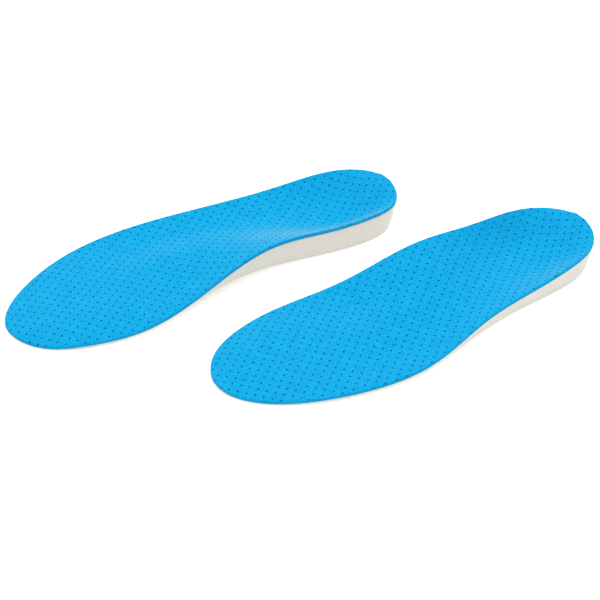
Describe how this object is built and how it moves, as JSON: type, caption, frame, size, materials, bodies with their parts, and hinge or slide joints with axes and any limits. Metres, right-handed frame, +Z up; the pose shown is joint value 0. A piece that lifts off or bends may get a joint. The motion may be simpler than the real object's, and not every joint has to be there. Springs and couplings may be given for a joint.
{
  "type": "cushioned insole pair",
  "caption": "Left and right full-length cushioned insoles with a heel cup, a raised arch and a perforated cloth face, laid side by side.",
  "frame": {"origin": "on the supporting surface, under the middle of the pair's bounding box", "axes": "+Z up, toes towards -Y, heels towards +Y, the right insole on the -X side and the left one on the +X side"},
  "size_m": [0.2252, 0.351, 0.0253],
  "materials": {
    "base_foam": "smooth matte moulded foam",
    "pad_gel": "soft matte gel",
    "cushion_foam": "fine open-cell foam",
    "face_cloth": "brushed knit, perforated"
  },
  "bodies": {
    "right_rear": {"right_base_rear": "base_foam", "right_heel_pad": "pad_gel", "right_foam_rear": "cushion_foam", "right_cloth_rear": "face_cloth"},
    "right_front": {"right_base_front": "base_foam", "right_ball_pad": "pad_gel", "right_foam_front": "cushion_foam", "right_cloth_front": "face_cloth"},
    "left_rear": {"left_base_rear": "base_foam", "left_heel_pad": "pad_gel", "left_foam_rear": "cushion_foam", "left_cloth_rear": "face_cloth"},
    "left_front": {"left_base_front": "base_foam", "left_ball_pad": "pad_gel", "left_foam_front": "cushion_foam", "left_cloth_front": "face_cloth"}
  },
  "joints": [
    {"name": "right_toe_bend", "type": "hinge", "parent": "right_rear", "child": "right_front", "pos_m": [-0.063, -0.0885, 0.01], "axis": [-1, 0, 0], "range_deg": [0, 45], "stiffness_Nm_per_rad": 0.04},
    {"name": "left_toe_bend", "type": "hinge", "parent": "left_rear", "child": "left_front", "pos_m": [0.063, -0.0125, 0.01], "axis": [-1, 0, 0], "range_deg": [0, 45], "stiffness_Nm_per_rad": 0.04},
    {"name": "left_lift", "type": "slide", "parent": "right_rear", "child": "left_rear", "axis": [0, 0, 1], "range_m": [0, 0.15]}
  ]
}
